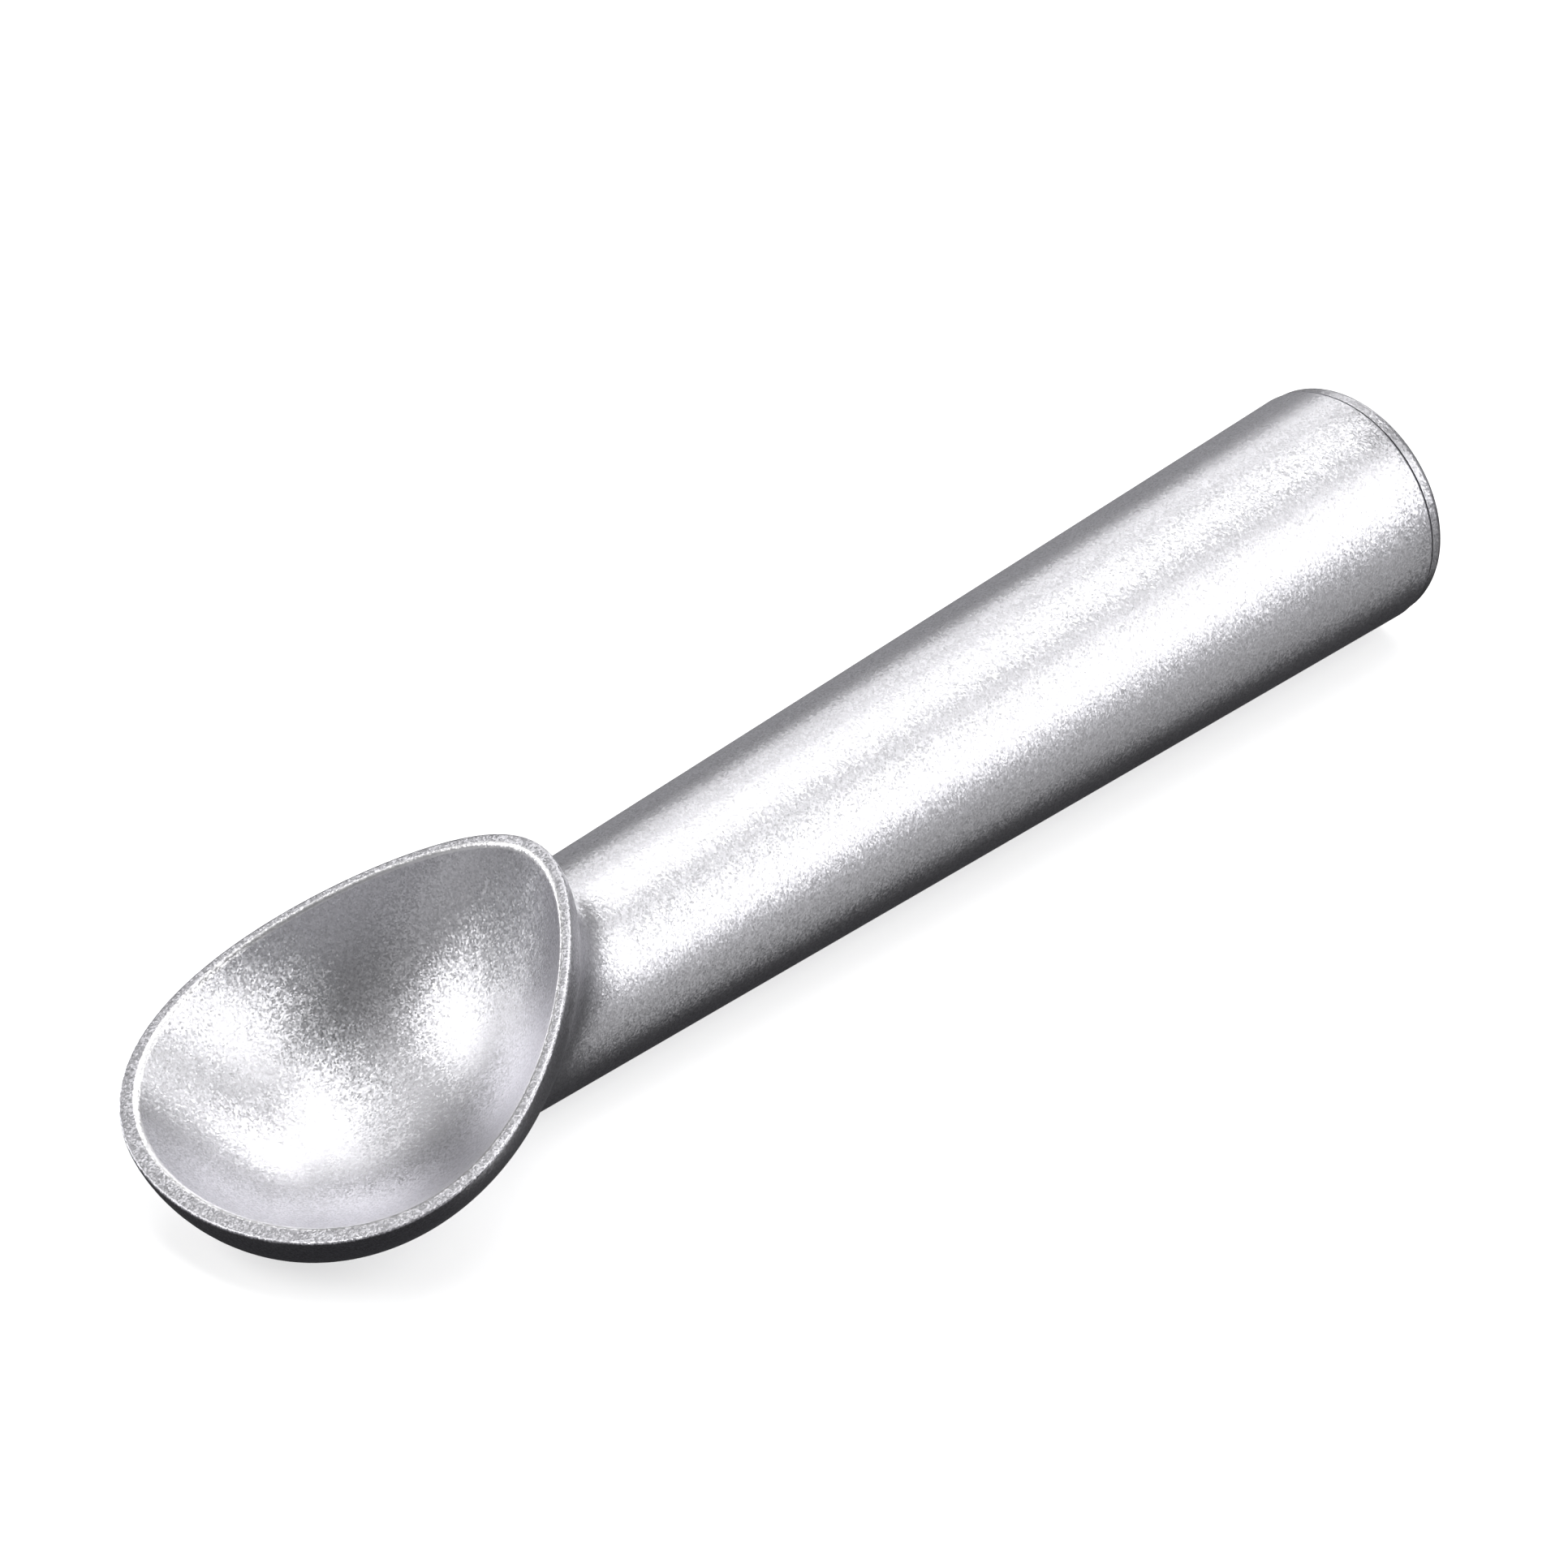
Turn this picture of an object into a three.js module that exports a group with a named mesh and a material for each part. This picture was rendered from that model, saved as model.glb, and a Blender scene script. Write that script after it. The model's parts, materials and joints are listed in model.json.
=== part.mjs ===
// Ice cream scoop: bowl, neck and hollow handle in one aluminium casting. The handle holds a liquid that
// carries the hand's warmth to the bowl, and a sealed plug closes its heel.
import * as THREE from 'three';

// Driving dimensions in millimetres and degrees, in the handle's own frame: the plug's seam is at x = 0,
// the handle runs along -X to the bowl, and the bowl opens towards +Z.
const HEEL_RADIUS = 13.9;
const NECK_RADIUS = 11.2;
const HANDLE_LENGTH = 118;
const HEEL_ROUND = 0.4;

// The flat rim of the bowl is an egg, narrow at the neck, in a plane that climbs towards the neck. Its back
// edge is placed from the end of the handle, and it reaches forward from there.
const RIM_LENGTH = 53.5;
const RIM_WIDTH = 45;
const RIM_TAPER = 0.325;
const RIM_TILT = 23.5;
const RIM_PAST_NECK = 11.1;
const RIM_ABOVE_NECK = 6.7;
const LIP_FRONT = 2.0;
const LIP_BACK = 1.45;
const LIP_SIDE = 1.4;
const LIP_ROUND = 0.35;

// The bowl below the rim grows round with depth, and leans forward by so much for each millimetre of depth.
// At the neck its outer wall leans back instead, as a collar.
// Its section is where (depth / full depth) ** wall + (reach / reach at the rim) ** floor is 1. A greater
// wall power stands the wall more upright at the rim, and a greater floor power makes the floor flatter.
const BOWL_DEPTH = 15;
const BOWL_LEAN = 0.25;
const COLLAR_LEAN = 0.25;
const FLOOR_THICKNESS = 2.4;
const SHELL_WALL_POWER = 1.8;
const SHELL_FLOOR_POWER = 1.8;
const HOLLOW_WALL_POWER = 1;
const HOLLOW_FLOOR_POWER = 2.6;

// The handle ends in a round nose under the bowl's back, past the neck, and a fillet blends the two. The
// fillet has died out on the handle by the start given here, which is ahead of the neck.
const NOSE_REACH = 37;
const NECK_FILLET_MIDDLE = 2.5;
const NECK_FILLET_FLANK = 7;
const FILLET_START = 14;

// The bore of the handle, the wider seat for the plug at its mouth, and the liquid in it.
const BORE_PAST_NECK = 2;
const BORE_WALL = 3.6;
const SEAT_SHOULDER = 0.5;
const SEAT_DEPTH = 14;
const LIQUID_ABOVE_AXIS = 5;

// The plug and its seal.
const FLANGE_THICKNESS = 1.8;
const FLANGE_ROUND = 1.1;
const FLANGE_STEP = 0.15;
const SEAL_SECTION = 1.6;
const PLUG_CHAMFER = 0.8;

// Clearance between pieces that fit together.
const FIT_GAP = 0.3;

// Facets: points round every ring, and rings along each stretch of the skin.
const ROUND = 56;
const NECK_RINGS = 24;
const HOLLOW_RINGS = 13;
const HANDLE_RINGS = 4;
const BORE_END_RINGS = 4;
const LIP_ROUND_STEPS = 2;
const FLANGE_ROUND_STEPS = 4;
const SEAL_SIDES = 10;

// Halvings of a search for a point on a curved skin.
const ROOT_STEPS = 40;

const taperPerMm = (HEEL_RADIUS - NECK_RADIUS) / HANDLE_LENGTH;
const handleRadius = (x) => HEEL_RADIUS + taperPerMm * x;
const boreRadius = (x) => handleRadius(x) - BORE_WALL;
const boreEndX = -HANDLE_LENGTH - BORE_PAST_NECK;
const seatRadius = boreRadius(-SEAT_DEPTH) + SEAT_SHOULDER;

// The rim's plane: the direction from the front lip to the neck, its normal, its back edge and its centre.
const tilt = THREE.MathUtils.degToRad(RIM_TILT);
const toNeck = new THREE.Vector3(Math.cos(tilt), 0, Math.sin(tilt));
const rimNormal = new THREE.Vector3(-Math.sin(tilt), 0, Math.cos(tilt));
const across = new THREE.Vector3(0, 1, 0);
const rimBack = new THREE.Vector3(-HANDLE_LENGTH - RIM_PAST_NECK, 0, NECK_RADIUS + RIM_ABOVE_NECK);
const rimCentre = rimBack.clone().addScaledVector(toNeck, -RIM_LENGTH / 2);

const outerEgg = {
  halfLength: RIM_LENGTH / 2,
  halfWidth: RIM_WIDTH / 2,
  shift: 0,
  depth: BOWL_DEPTH,
  leanBack: BOWL_LEAN + COLLAR_LEAN,
  wallPower: SHELL_WALL_POWER,
  floorPower: SHELL_FLOOR_POWER,
};
const innerEgg = {
  halfLength: (RIM_LENGTH - LIP_FRONT - LIP_BACK) / 2,
  halfWidth: RIM_WIDTH / 2 - LIP_SIDE,
  shift: (LIP_FRONT - LIP_BACK) / 2,
  depth: BOWL_DEPTH - FLOOR_THICKNESS,
  leanBack: 0,
  wallPower: HOLLOW_WALL_POWER,
  floorPower: HOLLOW_FLOOR_POWER,
};

// A point given by its place along and across the rim and its depth below the rim's plane.
function belowRim(along, side, depth) {
  return rimCentre.clone()
    .addScaledVector(toNeck, along)
    .addScaledVector(across, side)
    .addScaledVector(rimNormal, -depth);
}

// How much narrower an egg is at its neck end than in its middle, at some depth below the rim.
function taperAt(egg, depth) {
  return RIM_TAPER * Math.max(1 - depth / egg.depth, 0);
}

// How far an egg has drawn in at some depth, as a share of its size at the rim.
function shareAt(egg, depth) {
  return (1 - (depth / egg.depth) ** egg.wallPower) ** (1 / egg.floorPower);
}

// A point of a bowl's surface at some depth below the rim; angle 0 is at the neck.
function bowlPoint(egg, angle, depth) {
  const along = shareAt(egg, depth) * Math.cos(angle);
  const side = shareAt(egg, depth) * Math.sin(angle) * (1 - taperAt(egg, depth) * along);
  const leanBy = BOWL_LEAN - egg.leanBack * Math.max(along, 0) ** 2;
  return belowRim(egg.shift + egg.halfLength * along - leanBy * depth, egg.halfWidth * side, depth);
}

// A point of the rounding from a bowl's wall to the lip's flat, which starts so far out from the wall's edge.
function lipPoint(egg, angle, flatStart, share) {
  const edge = bowlPoint(egg, angle, 0);
  const outward = edge.clone().sub(belowRim(egg.shift, 0, 0)).normalize();
  const flat = edge.clone().addScaledVector(outward, flatStart);
  const wall = bowlPoint(egg, angle, LIP_ROUND);
  return wall.lerp(edge, share).lerp(edge.lerp(flat, share), share);
}

// Distance of a point from the handle's skin: a cone that ends in a round nose. Negative is inside.
function offHandle(point) {
  const noseX = -HANDLE_LENGTH - NOSE_REACH;
  const pastNose = Math.min(point.x - noseX, 0);
  return Math.hypot(pastNose, point.y, point.z) - handleRadius(Math.max(point.x, noseX));
}

// Distance of a point from the bowl's outer skin, to first order. Negative is inside.
function offBowl(point) {
  const { halfLength, halfWidth, leanBack, wallPower, floorPower } = outerEgg;
  const fromCentre = point.clone().sub(rimCentre);
  const depth = Math.max(-fromCentre.dot(rimNormal), 0);
  const leant = fromCentre.dot(toNeck) + BOWL_LEAN * depth;
  const root = Math.sqrt(halfLength ** 2 + 4 * leanBack * depth * Math.max(leant, 0));
  const along = (2 * leant) / (halfLength + root);
  const side = point.y / halfWidth / (1 - taperAt(outerEgg, depth) * Math.min(along, 1));
  const share = Math.hypot(along, side);
  const reach = Math.hypot(along * halfLength, point.y) / share;
  const drop = depth / BOWL_DEPTH;
  const level = drop ** wallPower + share ** floorPower - 1;
  const steepDown = (wallPower * drop ** (wallPower - 1)) / BOWL_DEPTH;
  const steepOut = (floorPower * share ** (floorPower - 1)) / reach;
  return level / Math.hypot(steepDown, steepOut);
}

// The two skins joined by a fillet that is tight in the middle plane and wide on the flanks.
function offBody(point) {
  const handle = offHandle(point);
  const bowl = offBowl(point);
  const flank = Math.abs(point.y) / Math.hypot(point.y, point.z);
  const fillet = THREE.MathUtils.lerp(NECK_FILLET_MIDDLE, NECK_FILLET_FLANK, flank);
  const mix = THREE.MathUtils.clamp(0.5 + (0.5 * (bowl - handle)) / fillet, 0, 1);
  return THREE.MathUtils.lerp(bowl, handle, mix) - fillet * mix * (1 - mix);
}

// Where a ray from inside the body leaves its skin within some reach, found by halving.
function leaveBody(start, direction, reach) {
  let low = 0;
  let high = reach;
  for (let step = 0; step < ROOT_STEPS; step += 1) {
    const middle = (low + high) / 2;
    if (offBody(start.clone().addScaledVector(direction, middle)) < 0) low = middle;
    else high = middle;
  }
  return start.clone().addScaledVector(direction, low);
}

// A ring of points, one for each angle; angle 0 is the top of the handle and the neck end of the rim.
function ring(pointAt) {
  return Array.from({ length: ROUND }, (_, index) => pointAt((2 * Math.PI * index) / ROUND));
}

function circle(x, radius) {
  return ring((angle) => new THREE.Vector3(x, radius * Math.sin(angle), radius * Math.cos(angle)));
}

// A direction part of the way from one to another, turning evenly.
function turnBetween(from, to, share) {
  const turn = new THREE.Quaternion().setFromUnitVectors(from, to);
  return from.clone().applyQuaternion(new THREE.Quaternion().slerp(turn, share));
}

// A closed skin through rings of points, drawn to a point at both ends.
function skin(startPoint, rings, endPoint) {
  const points = [startPoint, ...rings.flat(), endPoint];
  const last = points.length - 1;
  const index = [];
  for (let place = 0; place < ROUND; place += 1) {
    const next = (place + 1) % ROUND;
    index.push(0, 1 + next, 1 + place);
    for (let row = 0; row < rings.length - 1; row += 1) {
      const here = 1 + row * ROUND;
      const there = here + ROUND;
      index.push(here + place, there + next, there + place);
      index.push(here + place, here + next, there + next);
    }
    const end = 1 + (rings.length - 1) * ROUND;
    index.push(end + place, end + next, last);
  }
  const geometry = new THREE.BufferGeometry().setFromPoints(points);
  geometry.setIndex(index);
  geometry.computeVertexNormals();
  return geometry;
}

// Rings of a hole from its round blind end to its mouth, drawn in from the wall by a gap.
function boreRings(mouthX, gap) {
  const tipX = boreEndX + gap;
  const endRadius = boreRadius(boreEndX) - gap;
  const endRings = Array.from({ length: BORE_END_RINGS }, (_, step) => {
    const turn = ((step + 1) / BORE_END_RINGS) * (Math.PI / 2);
    return circle(tipX + endRadius * (1 - Math.cos(turn)), endRadius * Math.sin(turn));
  });
  return [...endRings, circle(mouthX, boreRadius(mouthX) - gap)];
}

// The casting: from the bore's blind end over the heel, along the handle, up to the lip and into the bowl.
function scoopBody() {
  const seat = [circle(-SEAT_DEPTH, seatRadius), circle(0, seatRadius)];
  const heel = circle(0, HEEL_RADIUS - HEEL_ROUND);
  const handle = Array.from({ length: HANDLE_RINGS }, (_, step) => {
    const x = THREE.MathUtils.lerp(-HEEL_ROUND, FILLET_START - HANDLE_LENGTH, step / (HANDLE_RINGS - 1));
    return circle(x, handleRadius(x));
  });

  // Rays from the heart of the bowl turn from the handle's last ring to the top of the wall.
  const heart = belowRim(0, 0, BOWL_DEPTH / 2);
  const neckEnd = handle[HANDLE_RINGS - 1];
  const wallTop = ring((angle) => bowlPoint(outerEgg, angle, LIP_ROUND));
  const neck = Array.from({ length: NECK_RINGS - 1 }, (_, step) => neckEnd.map((start, place) => {
    const from = start.clone().sub(heart).normalize();
    const to = wallTop[place].clone().sub(heart).normalize();
    const direction = turnBetween(from, to, (step + 1) / NECK_RINGS);
    return leaveBody(heart, direction, HANDLE_LENGTH + RIM_LENGTH);
  }));

  const round = (egg, flatStart) => Array.from({ length: LIP_ROUND_STEPS }, (_, step) => {
    const share = (step + 1) / LIP_ROUND_STEPS;
    return ring((angle) => lipPoint(egg, angle, flatStart, share));
  });

  const hollowStart = Math.acos(shareAt(innerEgg, LIP_ROUND));
  const hollow = Array.from({ length: HOLLOW_RINGS }, (_, step) => {
    const share = Math.cos(THREE.MathUtils.lerp(hollowStart, Math.PI / 2, step / HOLLOW_RINGS));
    const depth = innerEgg.depth * (1 - share ** innerEgg.floorPower) ** (1 / innerEgg.wallPower);
    return ring((angle) => bowlPoint(innerEgg, angle, depth));
  });

  const blindEnd = new THREE.Vector3(boreEndX, 0, 0);
  const bowlFloor = belowRim(innerEgg.shift - BOWL_LEAN * innerEgg.depth, 0, innerEgg.depth);
  const rings = [
    ...boreRings(-SEAT_DEPTH, 0), ...seat, heel, ...handle, ...neck, wallTop,
    ...round(outerEgg, -LIP_ROUND), ...round(innerEgg, LIP_ROUND).reverse(), ...hollow,
  ];
  return skin(blindEnd, rings, bowlFloor);
}

// A solid of revolution about the handle's axis, from a profile of distances along it and radii.
function turned(profile) {
  const points = profile.map(([x, radius]) => new THREE.Vector2(radius, x));
  return new THREE.LatheGeometry(points, ROUND).rotateZ(-Math.PI / 2);
}

// The plug's spigot runs from its tip in the seat to the flange, with the seal's groove halfway along.
const spigotTipX = -SEAT_DEPTH + FIT_GAP;
const flangeX = FIT_GAP;
const sealX = (spigotTipX + flangeX) / 2;
const sealRadius = seatRadius - FIT_GAP - SEAL_SECTION / 2;

// The plug: a flange with a rounded edge over the heel, and a grooved spigot in the seat.
function endCap() {
  const faceX = flangeX + FLANGE_THICKNESS;
  const flangeRadius = HEEL_RADIUS - FLANGE_STEP;
  const spigot = seatRadius - FIT_GAP;
  const grooveFloor = sealRadius - SEAL_SECTION / 2 - FIT_GAP;
  const grooveHalfWidth = SEAL_SECTION / 2 + FIT_GAP;
  const edge = Array.from({ length: FLANGE_ROUND_STEPS + 1 }, (_, step) => {
    const turn = (step / FLANGE_ROUND_STEPS) * (Math.PI / 2);
    const x = faceX - FLANGE_ROUND * (1 - Math.sin(turn));
    return [x, flangeRadius - FLANGE_ROUND * (1 - Math.cos(turn))];
  });
  return turned([
    [spigotTipX, 0],
    [spigotTipX, spigot - PLUG_CHAMFER],
    [spigotTipX + PLUG_CHAMFER, spigot],
    [sealX - grooveHalfWidth, spigot],
    [sealX - grooveHalfWidth, grooveFloor],
    [sealX + grooveHalfWidth, grooveFloor],
    [sealX + grooveHalfWidth, spigot],
    [flangeX, spigot],
    [flangeX, flangeRadius],
    ...edge,
    [faceX, 0],
  ]);
}

function capSeal() {
  const ringShape = new THREE.TorusGeometry(sealRadius, SEAL_SECTION / 2, SEAL_SIDES, ROUND);
  return ringShape.rotateY(Math.PI / 2).translate(sealX, 0, 0);
}

// The scoop lies on its back: it leans about the edge of its heel until the rest of it meets the table.
function restingLean(geometry) {
  const position = geometry.getAttribute('position');
  let lean = Math.PI / 2;
  for (let index = 0; index < position.count; index += 1) {
    const behind = -position.getX(index);
    const rise = position.getZ(index) + HEEL_RADIUS;
    if (behind > HEEL_RADIUS) lean = Math.min(lean, Math.atan2(rise, behind));
  }
  return lean;
}

// The liquid fills the bore up to a level surface, with a bubble left above it for its expansion.
function heatFluid(lean) {
  const mouthX = -SEAT_DEPTH - FIT_GAP;
  const tip = new THREE.Vector3(boreEndX + FIT_GAP, 0, 0);
  const middleX = (mouthX + tip.x) / 2;
  const settle = (point) => {
    const level = LIQUID_ABOVE_AXIS - (point.x - middleX) * Math.tan(lean);
    return point.setZ(Math.min(point.z, level));
  };
  const rings = boreRings(mouthX, FIT_GAP).map((points) => points.map(settle)).reverse();
  return skin(new THREE.Vector3(mouthX, 0, 0), rings, tip);
}

function piece(name, geometry, look) {
  const mesh = new THREE.Mesh(geometry, new THREE.MeshStandardMaterial(look));
  mesh.name = name;
  return mesh;
}

const aluminium = { color: 0xc9cacd, roughness: 0.38, metalness: 1 };
const body = scoopBody();
const lean = restingLean(body);

const scoop = new THREE.Group();
scoop.add(
  piece('scoop_body', body, aluminium),
  piece('end_cap', endCap(), aluminium),
  piece('cap_seal', capSeal(), { color: 0x1c1c1e, roughness: 0.8, metalness: 0 }),
  piece('heat_fluid', heatFluid(lean), { color: 0xd8e4e8, roughness: 0.1, metalness: 0 }),
);
scoop.rotation.y = -lean;

// The origin is under the middle of the scoop, on the table.
const table = new THREE.Group();
table.add(scoop);
const box = new THREE.Box3().setFromObject(table, true);
const middle = box.getCenter(new THREE.Vector3());
scoop.position.set(-middle.x, -middle.y, -box.min.z);
table.updateMatrixWorld(true);

export default table;
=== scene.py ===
"""Looks of the ice cream scoop: fine skins of its four pieces, their finishes, a studio and a camera."""
import json
import math

import bpy
import numpy as np
from mathutils import Matrix, Vector


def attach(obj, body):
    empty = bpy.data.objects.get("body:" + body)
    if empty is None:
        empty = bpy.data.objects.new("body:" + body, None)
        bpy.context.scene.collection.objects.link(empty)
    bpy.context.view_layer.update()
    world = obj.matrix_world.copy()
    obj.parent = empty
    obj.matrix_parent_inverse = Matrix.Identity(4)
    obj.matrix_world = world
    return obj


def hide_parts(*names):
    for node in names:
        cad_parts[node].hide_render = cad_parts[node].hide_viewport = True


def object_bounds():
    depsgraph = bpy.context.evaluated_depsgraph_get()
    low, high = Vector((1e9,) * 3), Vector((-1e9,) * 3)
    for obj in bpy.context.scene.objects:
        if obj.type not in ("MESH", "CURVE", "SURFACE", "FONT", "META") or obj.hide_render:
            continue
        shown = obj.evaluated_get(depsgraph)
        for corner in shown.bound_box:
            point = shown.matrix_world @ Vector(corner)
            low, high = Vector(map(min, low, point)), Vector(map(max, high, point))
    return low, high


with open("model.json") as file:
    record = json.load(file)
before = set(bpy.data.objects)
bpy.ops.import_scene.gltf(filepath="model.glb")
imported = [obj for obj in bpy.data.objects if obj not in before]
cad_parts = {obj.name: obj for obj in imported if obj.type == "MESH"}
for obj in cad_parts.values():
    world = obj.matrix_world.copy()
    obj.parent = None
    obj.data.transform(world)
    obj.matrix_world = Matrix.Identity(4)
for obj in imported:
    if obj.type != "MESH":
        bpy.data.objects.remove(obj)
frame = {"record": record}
cad_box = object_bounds()

# Sizes in millimetres and degrees, in the handle's frame: the plug's seam is at x = 0, the handle runs along
# -X to the bowl, and the bowl opens towards +Z.
MM = 0.001
HEEL_RADIUS = 13.9
NECK_RADIUS = 11.2
HANDLE_LENGTH = 118
HEEL_ROUND = 0.4

# The flat rim of the bowl, an egg in a plane that climbs towards the neck.
RIM_LENGTH = 53.5
RIM_WIDTH = 45
RIM_TAPER = 0.325
RIM_TILT = 23.5
RIM_PAST_NECK = 11.1
RIM_ABOVE_NECK = 6.7
LIP_FRONT = 2
LIP_BACK = 1.45
LIP_SIDE = 1.4
LIP_ROUND = 0.35

# The bowl below the rim grows round with depth and leans forward, but its outer wall leans back at the neck
# as a collar. Its section is where (depth / full depth) ** wall + (reach / reach at the rim) ** floor is 1.
BOWL_DEPTH = 15
BOWL_LEAN = 0.25
COLLAR_LEAN = 0.25
FLOOR_THICKNESS = 2.4
SHELL_WALL_POWER = 1.8
SHELL_FLOOR_POWER = 1.8
HOLLOW_WALL_POWER = 1
HOLLOW_FLOOR_POWER = 2.6

# The blend of the handle into the bowl.
NOSE_REACH = 37
NECK_FILLET_MIDDLE = 2.5
NECK_FILLET_FLANK = 7
FILLET_START = 14

# The bore, the plug in its mouth, the seal and the liquid. The seam is drawn finer than the other gaps.
BORE_PAST_NECK = 2
BORE_WALL = 3.6
SEAT_SHOULDER = 0.5
SEAT_DEPTH = 14
LIQUID_ABOVE_AXIS = 5
FLANGE_THICKNESS = 1.8
FLANGE_ROUND = 1.1
FLANGE_STEP = 0.15
SEAL_SECTION = 1.6
PLUG_CHAMFER = 0.8
FIT_GAP = 0.3
SEAM_GAP = 0.1

# Points round every ring, rings along each stretch, halvings per ray and the angle of a sharp edge.
ROUND = 256
NECK_RINGS = 120
HOLLOW_RINGS = 60
HANDLE_RINGS = 20
BORE_END_RINGS = 12
EDGE_STEPS = 8
SEAL_SIDES = 32
ROOT_STEPS = 40
SHARP_ANGLE = math.radians(38)

# The camera, fitted to the photograph's outline, in the handle's frame, and the field it sees.
CAMERA_AT = Vector((-731.15, -612.85, 514.53))
CAMERA_LOOKS = Vector((0.626634, 0.600091, -0.497213))
CAMERA_UP = Vector((0.401192, 0.298571, 0.865968))
SENSOR_MM = 36
IMAGE_PIXELS = 1932
FOCAL_PIXELS = 12000
CLIP_START = 10

taper_per_mm = (HEEL_RADIUS - NECK_RADIUS) / HANDLE_LENGTH
bore_end_x = -HANDLE_LENGTH - BORE_PAST_NECK
turns = np.linspace(0, 2 * np.pi, ROUND, endpoint=False)
neighbours = [(place, (place + 1) % ROUND) for place in range(ROUND)]


def handle_radius(x):
    return HEEL_RADIUS + taper_per_mm * x


def bore_radius(x):
    return handle_radius(x) - BORE_WALL


seat_radius = bore_radius(-SEAT_DEPTH) + SEAT_SHOULDER
spigot_tip_x = -SEAT_DEPTH + FIT_GAP
seal_x = (spigot_tip_x + FIT_GAP) / 2
seal_radius = seat_radius - FIT_GAP - SEAL_SECTION / 2

# The handle's frame in the model's: the mount on the plug's face gives its axis and its place.
heel_mount = next(mount for mount in frame["record"]["mounts"] if mount["name"] == "heel_face")
along_handle = Vector(heel_mount["axis"]).normalized()
across_handle = Vector((0, 1, 0))
above_handle = along_handle.cross(across_handle)
seam = Vector(heel_mount["pos_m"]) - along_handle * (FIT_GAP + FLANGE_THICKNESS) * MM
handle_turn = Matrix((along_handle, across_handle, above_handle)).transposed()
handle_to_model = Matrix.Translation(seam) @ handle_turn.to_4x4() @ Matrix.Scale(MM, 4)
lean = math.asin(along_handle.z)

# The rim's plane: the direction from the front lip to the neck, its normal and its centre.
tilt = math.radians(RIM_TILT)
to_neck = np.array((math.cos(tilt), 0, math.sin(tilt)))
rim_normal = np.array((-math.sin(tilt), 0, math.cos(tilt)))
across = np.array((0, 1, 0))
rim_back = np.array((-HANDLE_LENGTH - RIM_PAST_NECK, 0, NECK_RADIUS + RIM_ABOVE_NECK))
rim_centre = rim_back - to_neck * RIM_LENGTH / 2


def below_rim(along, side, depth):
    """Points given by their place in the rim's plane, from its centre, and their depth below it."""
    along, side, depth = np.broadcast_arrays(along, side, depth)
    return (
        rim_centre
        + along[..., None] * to_neck
        + side[..., None] * across
        - depth[..., None] * rim_normal
    )


class Egg:
    """A bowl's surface: an egg at the rim that draws in and grows round with depth."""

    def __init__(self, half_length, half_width, shift, depth, lean_back, wall_power, floor_power):
        self.half_length = half_length
        self.half_width = half_width
        self.shift = shift
        self.depth = depth
        self.lean_back = lean_back
        self.wall_power = wall_power
        self.floor_power = floor_power

    def taper_at(self, depth):
        """How much narrower the egg is at its neck end than in its middle."""
        return RIM_TAPER * np.maximum(1 - depth / self.depth, 0)

    def share_at(self, depth):
        """How far the egg has drawn in, as a share of its size at the rim."""
        return (1 - (depth / self.depth) ** self.wall_power) ** (1 / self.floor_power)

    def bowl(self, angle, depth):
        """Points of the surface at some depth below the rim; angle 0 is at the neck."""
        along = self.share_at(depth) * np.cos(angle)
        side = self.share_at(depth) * np.sin(angle) * (1 - self.taper_at(depth) * along)
        lean_by = BOWL_LEAN - self.lean_back * np.maximum(along, 0) ** 2
        reach = self.shift + self.half_length * along - lean_by * depth
        return below_rim(reach, self.half_width * side, depth)

    def lip(self, angle, flat_start, share):
        """Points of the rounding from the wall to the lip's flat, which starts so far out from the edge."""
        edge = self.bowl(angle, 0)
        outward = edge - below_rim(self.shift, 0, 0)
        flat = edge + flat_start * outward / np.linalg.norm(outward, axis=-1, keepdims=True)
        wall = self.bowl(angle, LIP_ROUND)
        return (1 - share) ** 2 * wall + 2 * share * (1 - share) * edge + share**2 * flat


outer_egg = Egg(
    RIM_LENGTH / 2,
    RIM_WIDTH / 2,
    0,
    BOWL_DEPTH,
    BOWL_LEAN + COLLAR_LEAN,
    SHELL_WALL_POWER,
    SHELL_FLOOR_POWER,
)
inner_egg = Egg(
    (RIM_LENGTH - LIP_FRONT - LIP_BACK) / 2,
    RIM_WIDTH / 2 - LIP_SIDE,
    (LIP_FRONT - LIP_BACK) / 2,
    BOWL_DEPTH - FLOOR_THICKNESS,
    0,
    HOLLOW_WALL_POWER,
    HOLLOW_FLOOR_POWER,
)


def off_handle(points):
    """Distance from the handle's skin, a cone that ends in a round nose; negative is inside."""
    nose_x = -HANDLE_LENGTH - NOSE_REACH
    past_nose = np.minimum(points[..., 0] - nose_x, 0)
    radius = handle_radius(np.maximum(points[..., 0], nose_x))
    return np.sqrt(past_nose**2 + points[..., 1] ** 2 + points[..., 2] ** 2) - radius


def off_bowl(points):
    """Distance from the bowl's outer skin, to first order; negative is inside."""
    egg = outer_egg
    from_centre = points - rim_centre
    depth = np.maximum(-from_centre @ rim_normal, 0)
    leant = from_centre @ to_neck + BOWL_LEAN * depth
    root = np.sqrt(egg.half_length**2 + 4 * egg.lean_back * depth * np.maximum(leant, 0))
    along = 2 * leant / (egg.half_length + root)
    side = points[..., 1] / egg.half_width / (1 - egg.taper_at(depth) * np.minimum(along, 1))
    share = np.hypot(along, side)
    reach = np.hypot(along * egg.half_length, points[..., 1]) / share
    drop = depth / egg.depth
    level = drop**egg.wall_power + share**egg.floor_power - 1
    steep_down = egg.wall_power * drop ** (egg.wall_power - 1) / egg.depth
    steep_out = egg.floor_power * share ** (egg.floor_power - 1) / reach
    return level / np.hypot(steep_down, steep_out)


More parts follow.
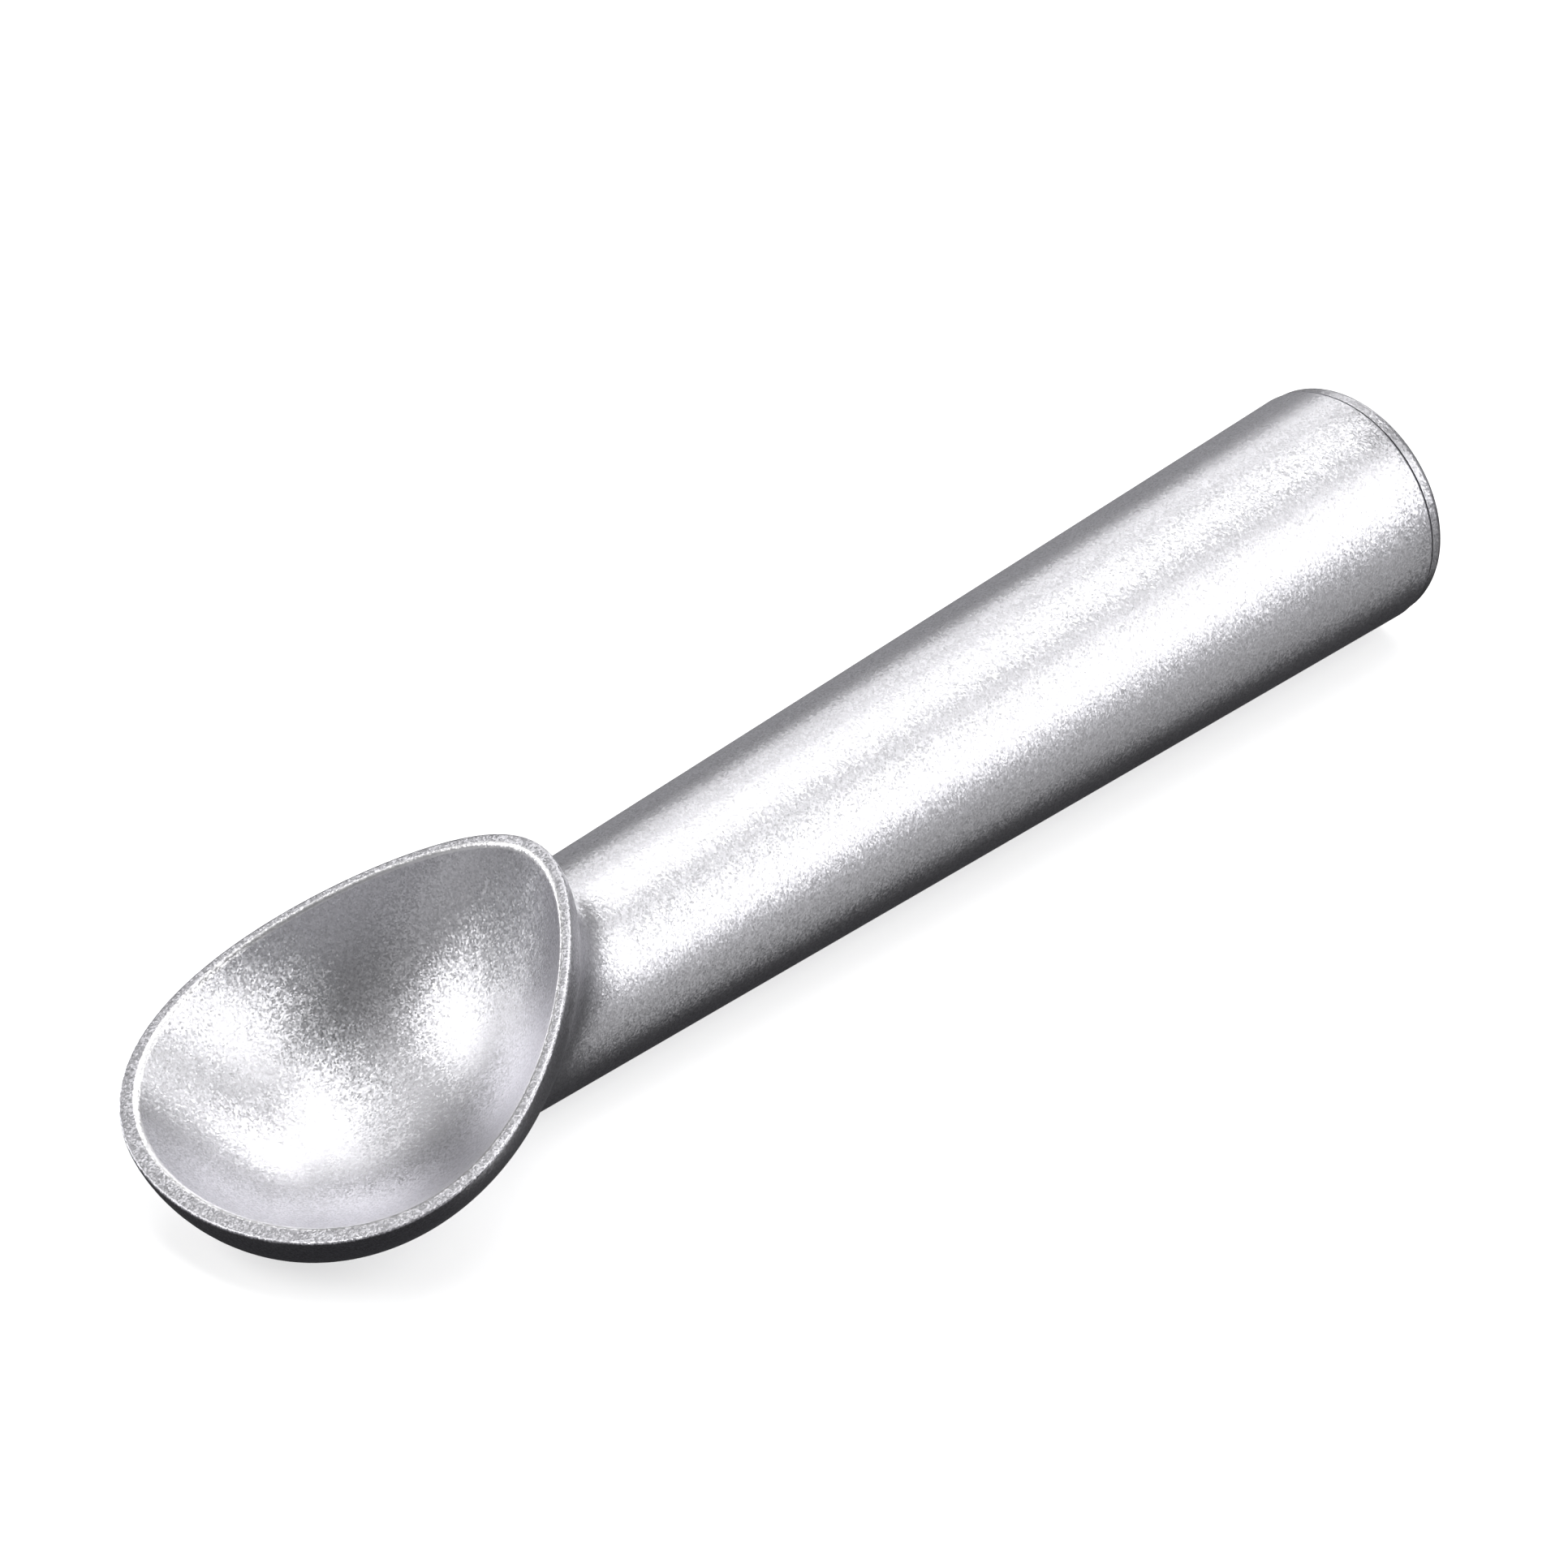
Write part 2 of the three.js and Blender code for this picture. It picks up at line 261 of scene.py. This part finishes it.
def off_body(points):
    """The two skins joined by a fillet that is tight in the middle plane and wide on the flanks."""
    handle = off_handle(points)
    bowl = off_bowl(points)
    flank = np.abs(points[..., 1]) / np.hypot(points[..., 1], points[..., 2])
    fillet = NECK_FILLET_MIDDLE + (NECK_FILLET_FLANK - NECK_FILLET_MIDDLE) * flank
    mix = np.clip(0.5 + 0.5 * (bowl - handle) / fillet, 0, 1)
    return bowl + (handle - bowl) * mix - fillet * mix * (1 - mix)


def leave_body(start, directions):
    """Where rays from inside the body leave its skin, found by halving."""
    low = np.zeros(directions.shape[:-1])
    high = np.full(directions.shape[:-1], HANDLE_LENGTH + RIM_LENGTH)
    for _ in range(ROOT_STEPS):
        middle = (low + high) / 2
        inside = off_body(start + directions * middle[..., None]) < 0
        low = np.where(inside, middle, low)
        high = np.where(inside, high, middle)
    return start + directions * low[..., None]


def circle(x, radius):
    """A ring of points round the handle's axis."""
    return np.stack([np.full(ROUND, x), radius * np.sin(turns), radius * np.cos(turns)], axis=1)


def quarter(steps):
    """Cosines and sines of a quarter turn in even steps, its start left out."""
    angle = np.linspace(0, np.pi / 2, steps + 1)[1:]
    return zip(np.cos(angle), np.sin(angle))


def bore_rings(mouth_x, gap):
    """Rings of a hole from its round blind end to its mouth, drawn in from the wall by a gap."""
    tip_x = bore_end_x + gap
    end_radius = bore_radius(bore_end_x) - gap
    rings = []
    for cosine, sine in quarter(BORE_END_RINGS):
        rings.append(circle(tip_x + end_radius * (1 - cosine), end_radius * sine))
    rings.append(circle(mouth_x, bore_radius(mouth_x) - gap))
    return rings


def neck_rings(neck_end, wall_top):
    """Rings of the outer skin from the handle's last ring, under the bowl, to the top of its wall."""
    heart = below_rim(0, 0, BOWL_DEPTH / 2)
    start = neck_end - heart
    start /= np.linalg.norm(start, axis=1, keepdims=True)
    end = wall_top - heart
    end /= np.linalg.norm(end, axis=1, keepdims=True)
    angle = np.arccos(np.sum(start * end, axis=1, keepdims=True))
    directions = []
    for share in np.arange(1, NECK_RINGS) / NECK_RINGS:
        swung = np.sin((1 - share) * angle) * start + np.sin(share * angle) * end
        directions.append(swung / np.sin(angle))
    return list(leave_body(heart, np.stack(directions)))


def body_rings():
    """Rings of the casting from the bore's end over the heel and the handle to the bowl's floor."""
    seat = [circle(-SEAT_DEPTH, seat_radius), circle(0, seat_radius)]
    heel_centre = HEEL_RADIUS - HEEL_ROUND
    heel = [circle(0, heel_centre)]
    for cosine, sine in quarter(EDGE_STEPS):
        heel.append(circle(-HEEL_ROUND * (1 - cosine), heel_centre + HEEL_ROUND * sine))
    handle_x = np.linspace(-HEEL_ROUND, FILLET_START - HANDLE_LENGTH, HANDLE_RINGS)[1:]
    handle = [circle(x, handle_radius(x)) for x in handle_x]

    wall_top = outer_egg.bowl(turns, LIP_ROUND)
    neck = neck_rings(handle[-1], wall_top)
    shares = np.arange(1, EDGE_STEPS + 1) / EDGE_STEPS
    outer_lip = [outer_egg.lip(turns, -LIP_ROUND, share) for share in shares]
    inner_lip = [inner_egg.lip(turns, LIP_ROUND, share) for share in shares]
    hollow_start = math.acos(inner_egg.share_at(LIP_ROUND))
    hollow_shares = np.cos(np.linspace(hollow_start, np.pi / 2, HOLLOW_RINGS, endpoint=False))
    hollow_drops = (1 - hollow_shares**inner_egg.floor_power) ** (1 / inner_egg.wall_power)
    hollow = [inner_egg.bowl(turns, inner_egg.depth * drop) for drop in hollow_drops]
    return [
        *bore_rings(-SEAT_DEPTH, 0), *seat, *heel, *handle, *neck, wall_top,
        *outer_lip, *inner_lip[::-1], *hollow,
    ]


def plug_rings():
    """Rings of the plug from the tip of its spigot, over the seal's groove, to its rounded flange."""
    spigot = seat_radius - FIT_GAP
    groove_floor = seal_radius - SEAL_SECTION / 2 - FIT_GAP
    groove_half = SEAL_SECTION / 2 + FIT_GAP
    face_x = FIT_GAP + FLANGE_THICKNESS
    flange_radius = HEEL_RADIUS - FLANGE_STEP
    profile = [
        (spigot_tip_x, spigot - PLUG_CHAMFER),
        (spigot_tip_x + PLUG_CHAMFER, spigot),
        (seal_x - groove_half, spigot),
        (seal_x - groove_half, groove_floor),
        (seal_x + groove_half, groove_floor),
        (seal_x + groove_half, spigot),
        (SEAM_GAP, spigot),
        (SEAM_GAP, flange_radius),
        (face_x - FLANGE_ROUND, flange_radius),
    ]
    for cosine, sine in quarter(EDGE_STEPS):
        edge_x = face_x - FLANGE_ROUND * (1 - sine)
        profile.append((edge_x, flange_radius - FLANGE_ROUND * (1 - cosine)))
    return [circle(x, radius) for x, radius in profile]


def liquid_rings():
    """Rings of the liquid, which fills the bore up to a level surface."""
    mouth_x = -SEAT_DEPTH - FIT_GAP
    middle_x = (mouth_x + bore_end_x + FIT_GAP) / 2
    rings = bore_rings(mouth_x, FIT_GAP)
    for ring in rings:
        level = LIQUID_ABOVE_AXIS - (ring[:, 0] - middle_x) * math.tan(lean)
        ring[:, 2] = np.minimum(ring[:, 2], level)
    return rings


def seal_rings():
    """Rings of the seal's section, one after another round the plug's groove."""
    half = SEAL_SECTION / 2
    rings = []
    for angle in np.linspace(0, 2 * np.pi, SEAL_SIDES, endpoint=False):
        rings.append(circle(seal_x + half * math.sin(angle), seal_radius + half * math.cos(angle)))
    return rings


def make_piece(name, points, faces, node, slot, *materials):
    """A smooth mesh object in the model's frame that stands for a CAD node."""
    mesh = bpy.data.meshes.new(name)
    mesh.from_pydata([tuple(point) for point in points], [], faces)
    mesh.transform(handle_to_model)
    mesh.polygons.foreach_set("use_smooth", [True] * len(mesh.polygons))
    mesh.set_sharp_from_angle(angle=SHARP_ANGLE)
    for material in materials:
        mesh.materials.append(material)
    mesh.validate()
    piece = bpy.data.objects.new(name, mesh)
    bpy.context.scene.collection.objects.link(piece)
    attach(piece, "root")
    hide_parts(node)
    return piece


def band(first, second):
    """Faces between two rings that start at the given points."""
    return [(first + here, first + after, second + after, second + here) for here, after in neighbours]


def skin(rings, start, end):
    """Points and faces of a closed skin through rings, drawn to a point at both ends."""
    points = np.concatenate([[start], *rings, [end]])
    faces = [(0, 1 + after, 1 + here) for here, after in neighbours]
    for row in range(len(rings) - 1):
        faces += band(1 + row * ROUND, 1 + (row + 1) * ROUND)
    last_ring = 1 + (len(rings) - 1) * ROUND
    faces += [(last_ring + here, last_ring + after, len(points) - 1) for here, after in neighbours]
    return points, faces


def torus(rings):
    """Points and faces of a skin whose last ring meets its first."""
    faces = []
    for row in range(len(rings)):
        faces += band(row * ROUND, (row + 1) % len(rings) * ROUND)
    return np.concatenate(rings), faces


# The finishes. A scale is a number of features to the metre, a height is in metres, and a pair is a range.
NOISE_LOW = 0.3
NOISE_HIGH = 0.7
CELL_MIDDLE = (0.5, 0.5, 0.5)
FLAKE_SCALE = 5400
WAVE_SCALE = 260
WAVE_HEIGHT = 3e-6
PATCH_SCALE = 45
SATIN_ROUGHNESS = (0.34, 0.37)
METAL_FINISHES = {
    "blasted_aluminium": {"dark": (0.58, 0.576, 0.599), "light": (0.97, 0.963, 1), "tilt": 0.17},
    "blasted_lip": {"dark": (0.45, 0.446, 0.468), "light": (0.96, 0.953, 0.995), "tilt": 0.28},
    "burnished_edge": {"dark": (0.98, 0.973, 1), "light": (1, 0.993, 1), "tilt": 0.2},
    "blasted_plug": {"dark": (0.45, 0.447, 0.464), "light": (0.82, 0.814, 0.846), "tilt": 0.2},
}
BLOOM_SCALE = 700
BLOOM_HEIGHT = 2e-5
RUBBER_DARK = (0.012, 0.012, 0.013)
RUBBER_LIGHT = (0.03, 0.03, 0.032)
RUBBER_ROUGHNESS = (0.6, 0.85)
SWIRL_SCALE = 60
LIQUID_DARK = (0.7, 0.84, 0.88)
LIQUID_LIGHT = (0.86, 0.92, 0.94)
LIQUID_ROUGHNESS = (0.03, 0.08)
LIQUID_IOR = 1.36
LIQUID_CLEARNESS = 0.9

# The casting's finishes in the order of its material slots, and the slots of the lip and of its inner edge.
CASTING_FINISHES = ("blasted_aluminium", "blasted_lip", "burnished_edge")
LIP_SLOT = 1
EDGE_SLOT = 2


class Nodes:
    """A material's node tree, with short calls to add and join its nodes."""

    def __init__(self, name):
        self.material = bpy.data.materials.new(name)
        self.material.use_nodes = True
        self.tree = self.material.node_tree
        self.shader = self.tree.nodes["Principled BSDF"]
        self.place = None

    def add(self, kind, **values):
        node = self.tree.nodes.new(kind)
        for key, value in values.items():
            setattr(node, key, value)
        return node

    def link(self, output, socket):
        self.tree.links.new(output, socket)

    def coordinates(self):
        """The object's own coordinates, from one node that all textures share."""
        if self.place is None:
            self.place = self.add("ShaderNodeTexCoord")
        return self.place.outputs["Object"]

    def noise(self, scale, detail):
        node = self.add("ShaderNodeTexNoise")
        node.inputs["Scale"].default_value = scale
        node.inputs["Detail"].default_value = detail
        self.link(self.coordinates(), node.inputs["Vector"])
        return node.outputs["Fac"]

    def cells(self, scale):
        """A colour of its own for each of many small cells."""
        node = self.add("ShaderNodeTexVoronoi")
        node.inputs["Scale"].default_value = scale
        self.link(self.coordinates(), node.inputs["Vector"])
        return node.outputs["Color"]

    def spread(self, noise, low, high):
        """The middle part of a noise's values carried to another range."""
        node = self.add("ShaderNodeMapRange")
        node.inputs["From Min"].default_value = NOISE_LOW
        node.inputs["From Max"].default_value = NOISE_HIGH
        node.inputs["To Min"].default_value = low
        node.inputs["To Max"].default_value = high
        self.link(noise, node.inputs["Value"])
        return node.outputs["Result"]

    def colours(self, value, dark, light):
        node = self.add("ShaderNodeMix", data_type="RGBA")
        node.inputs["A"].default_value = (*dark, 1)
        node.inputs["B"].default_value = (*light, 1)
        self.link(value, node.inputs["Factor"])
        return node.outputs["Result"]

    def vectors(self, operation, first, second=None):
        """Vector arithmetic on an output and another output, a constant or nothing."""
        node = self.add("ShaderNodeVectorMath", operation=operation)
        self.link(first, node.inputs[0])
        if isinstance(second, tuple):
            node.inputs[1].default_value = second
        elif second is not None:
            self.link(second, node.inputs[1])
        return node.outputs["Vector"]

    def flakes(self, cells, tilt):
        """Normals of flat cells, each tilted its own way."""
        centred = self.vectors("SUBTRACT", cells, CELL_MIDDLE)
        lean_by = self.vectors("MULTIPLY", centred, (tilt, tilt, tilt))
        level = self.add("ShaderNodeNewGeometry").outputs["Normal"]
        return self.vectors("NORMALIZE", self.vectors("ADD", level, lean_by))

    def bump(self, noise, height, below=None):
        """Normals of a bumpy skin, over other normals where those are given."""
        node = self.add("ShaderNodeBump")
        node.inputs["Distance"].default_value = height
        self.link(noise, node.inputs["Height"])
        if below is not None:
            self.link(below, node.inputs["Normal"])
        return node.outputs["Normal"]


def cast_aluminium(name):
    """Cast aluminium in one of its finishes: tiny flakes, each tilted and toned its own way."""
    finish = METAL_FINISHES[name]
    nodes = Nodes(name)
    cells = nodes.cells(FLAKE_SCALE)
    wave = nodes.noise(WAVE_SCALE, detail=0)
    patch = nodes.noise(PATCH_SCALE, detail=3)
    shader = nodes.shader
    shader.inputs["Metallic"].default_value = 1
    nodes.link(nodes.colours(cells, finish["dark"], finish["light"]), shader.inputs["Base Color"])
    nodes.link(nodes.spread(patch, *SATIN_ROUGHNESS), shader.inputs["Roughness"])
    flakes = nodes.flakes(cells, finish["tilt"])
    nodes.link(nodes.bump(wave, WAVE_HEIGHT, below=flakes), shader.inputs["Normal"])
    return nodes.material


def seal_rubber():
    """Black moulded rubber with a dusty bloom."""
    nodes = Nodes("seal_rubber")
    bloom = nodes.noise(BLOOM_SCALE, detail=4)
    shader = nodes.shader
    nodes.link(nodes.colours(bloom, RUBBER_DARK, RUBBER_LIGHT), shader.inputs["Base Color"])
    nodes.link(nodes.spread(bloom, *RUBBER_ROUGHNESS), shader.inputs["Roughness"])
    nodes.link(nodes.bump(bloom, BLOOM_HEIGHT), shader.inputs["Normal"])
    return nodes.material


def warming_liquid():
    """Clear pale liquid with a faint swirl of colour."""
    nodes = Nodes("warming_liquid")
    swirl = nodes.noise(SWIRL_SCALE, detail=3)
    shader = nodes.shader
    nodes.link(nodes.colours(swirl, LIQUID_DARK, LIQUID_LIGHT), shader.inputs["Base Color"])
    nodes.link(nodes.spread(swirl, *LIQUID_ROUGHNESS), shader.inputs["Roughness"])
    shader.inputs["IOR"].default_value = LIQUID_IOR
    shader.inputs["Transmission Weight"].default_value = LIQUID_CLEARNESS
    return nodes.material


def build_casting():
    """The bowl, neck and handle as one skin, with other finishes on the lip and on its inner edge."""
    bowl_floor = below_rim(inner_egg.shift - BOWL_LEAN * inner_egg.depth, 0, inner_egg.depth)
    points, faces = skin(body_rings(), (bore_end_x, 0, 0), bowl_floor)
    metals = [cast_aluminium(name) for name in CASTING_FINISHES]
    casting = make_piece("cast_body", points, faces, "scoop_body", "cast_aluminium", *metals)
    hollow_start = len(faces) - ROUND * HOLLOW_RINGS
    edge_start = hollow_start - ROUND * EDGE_STEPS
    lip_start = edge_start - ROUND * EDGE_STEPS
    for polygon in casting.data.polygons[lip_start:edge_start]:
        polygon.material_index = LIP_SLOT
    for polygon in casting.data.polygons[edge_start:hollow_start]:
        polygon.material_index = EDGE_SLOT


def build_plug():
    plug = skin(plug_rings(), (spigot_tip_x, 0, 0), (FIT_GAP + FLANGE_THICKNESS, 0, 0))
    make_piece("heel_plug", *plug, "end_cap", "cast_aluminium", cast_aluminium("blasted_plug"))


def build_seal():
    make_piece("plug_seal", *torus(seal_rings()), "cap_seal", "seal_rubber", seal_rubber())


def build_liquid():
    tip = (bore_end_x + FIT_GAP, 0, 0)
    liquid = skin(liquid_rings(), tip, (-SEAT_DEPTH - FIT_GAP, 0, 0))
    make_piece("bore_liquid", *liquid, "heat_fluid", "warming_liquid", warming_liquid())


# The studio, in metres: a glowing floor that the metal doesn't reflect, a dim room and elliptic softboxes.
# Each softbox is given by its direction in the handle's frame, the half angles that it spans, its roll in
# degrees and its radiance, fitted to the photograph's highlights and then rounded and changed.
FLOOR_SIZE = 12
FLOOR_TONE = (0.9, 0.9, 0.9, 1)
FLOOR_GLOW = 0.7
LIGHT_DISTANCE = 8
SOFTBOXES = {
    "front": {"toward": (0.03, -0.76, 0.65), "spans": (7, 23), "roll": -35, "radiance": 3.8},
    "front_right": {"toward": (0.64, -0.69, 0.33), "spans": (7, 26), "roll": -30, "radiance": 3.8},
    "high_front": {"toward": (0.62, -0.39, 0.68), "spans": (9, 9), "roll": 0, "radiance": 0.6},
    "upper_right": {"toward": (0.54, 0.04, 0.84), "spans": (22, 8), "roll": 5, "radiance": 3.4},
    "right_back": {"toward": (0.8, 0.44, 0.4), "spans": (26, 7), "roll": 40, "radiance": 2.1},
    "overhead": {"toward": (0.05, 0.12, 0.99), "spans": (12, 36), "roll": 5, "radiance": 2.3},
    "back_left": {"toward": (-0.56, 0.52, 0.65), "spans": (26, 12), "roll": 0, "radiance": 2.6},
    "back": {"toward": (-0.03, 1, 0.04), "spans": (36, 7), "roll": 30, "radiance": 2.8},
    "left": {"toward": (-0.84, -0.16, 0.51), "spans": (40, 20), "roll": -80, "radiance": 0.2},
    "floor_bounce": {"toward": (0.6, -0.69, -0.4), "spans": (32, 9), "roll": -55, "radiance": 0.55},
}

# The room's tones, each with its height from 0 straight below to 1 straight above.
ROOM_BELOW = (0.025, 0.025, 0.027, 1)
ROOM_LEVEL = (0.34, 0.34, 0.355, 1)
ROOM_ABOVE = (0.02, 0.02, 0.021, 1)
BELOW_HEIGHT = 0.3
LEVEL_HEIGHT = 0.5
ABOVE_HEIGHT = 0.75


def facing(place, looks, up):
    """A place and turn whose -Z axis looks along a direction and whose Y axis is as near up as can be."""
    back = -looks.normalized()
    right = up.cross(back).normalized()
    turn = Matrix((right, back.cross(right), back)).transposed()
    return Matrix.Translation(place) @ turn.to_4x4()


def build_floor():
    mesh = bpy.data.meshes.new("floor")
    half = FLOOR_SIZE / 2
    corners = [(-half, -half, 0), (half, -half, 0), (half, half, 0), (-half, half, 0)]
    mesh.from_pydata(corners, [], [(0, 1, 2, 3)])
    nodes = Nodes("pale_floor")
    shader = nodes.shader
    shader.inputs["Base Color"].default_value = FLOOR_TONE
    shader.inputs["Roughness"].default_value = 1
    shader.inputs["Specular IOR Level"].default_value = 0
    shader.inputs["Emission Color"].default_value = FLOOR_TONE
    shader.inputs["Emission Strength"].default_value = FLOOR_GLOW
    mesh.materials.append(nodes.material)
    floor = bpy.data.objects.new("floor", mesh)
    bpy.context.scene.collection.objects.link(floor)
    floor.visible_glossy = False
    floor.visible_diffuse = False
    floor.visible_shadow = False


def build_softboxes():
    """Lamps round the part, each with the power that gives its radiance over the area of its ellipse."""
    centre = (cad_box[0] + cad_box[1]) / 2
    for name, box in SOFTBOXES.items():
        light = bpy.data.lights.new(name, "AREA")
        light.shape = "ELLIPSE"
        sizes = [2 * LIGHT_DISTANCE * math.tan(math.radians(span)) for span in box["spans"]]
        light.size, light.size_y = sizes
        light.energy = box["radiance"] * math.pi * (math.pi / 4) * light.size * light.size_y
        lamp = bpy.data.objects.new(name, light)
        toward = (handle_turn @ Vector(box["toward"])).normalized()
        aimed = facing(centre + toward * LIGHT_DISTANCE, -toward, Vector((0, 0, 1)))
        lamp.matrix_world = aimed @ Matrix.Rotation(math.radians(box["roll"]), 4, "Z")
        lamp.visible_camera = False
        bpy.context.scene.collection.objects.link(lamp)


def build_room():
    """A room that is brightest at the level of the horizon."""
    world = bpy.data.worlds.new("room")
    bpy.context.scene.world = world
    world.use_nodes = True
    tree = world.node_tree
    place = tree.nodes.new("ShaderNodeTexCoord")
    split = tree.nodes.new("ShaderNodeSeparateXYZ")
    ramp = tree.nodes.new("ShaderNodeValToRGB")
    height = tree.nodes.new("ShaderNodeMapRange")
    height.inputs["From Min"].default_value = -1
    tree.links.new(place.outputs["Generated"], split.inputs["Vector"])
    tree.links.new(split.outputs["Z"], height.inputs["Value"])
    tree.links.new(height.outputs["Result"], ramp.inputs["Fac"])
    tree.links.new(ramp.outputs["Color"], tree.nodes["Background"].inputs["Color"])
    stops = ramp.color_ramp.elements
    stops[0].position = BELOW_HEIGHT
    stops[0].color = ROOM_BELOW
    stops[1].position = ABOVE_HEIGHT
    stops[1].color = ROOM_ABOVE
    stops.new(LEVEL_HEIGHT).color = ROOM_LEVEL


def build_camera():
    camera = bpy.data.cameras.new("camera")
    camera.sensor_fit = "HORIZONTAL"
    camera.sensor_width = SENSOR_MM
    camera.lens = SENSOR_MM * FOCAL_PIXELS / IMAGE_PIXELS
    camera.clip_start = CLIP_START * MM
    camera_object = bpy.data.objects.new("camera", camera)
    bpy.context.scene.collection.objects.link(camera_object)
    place = handle_to_model @ CAMERA_AT
    camera_object.matrix_world = facing(place, handle_turn @ CAMERA_LOOKS, handle_turn @ CAMERA_UP)
    bpy.context.scene.camera = camera_object


build_camera()
build_casting()
build_plug()
build_seal()
build_liquid()
build_floor()
build_softboxes()
build_room()
bpy.context.scene.view_settings.view_transform = "Standard"
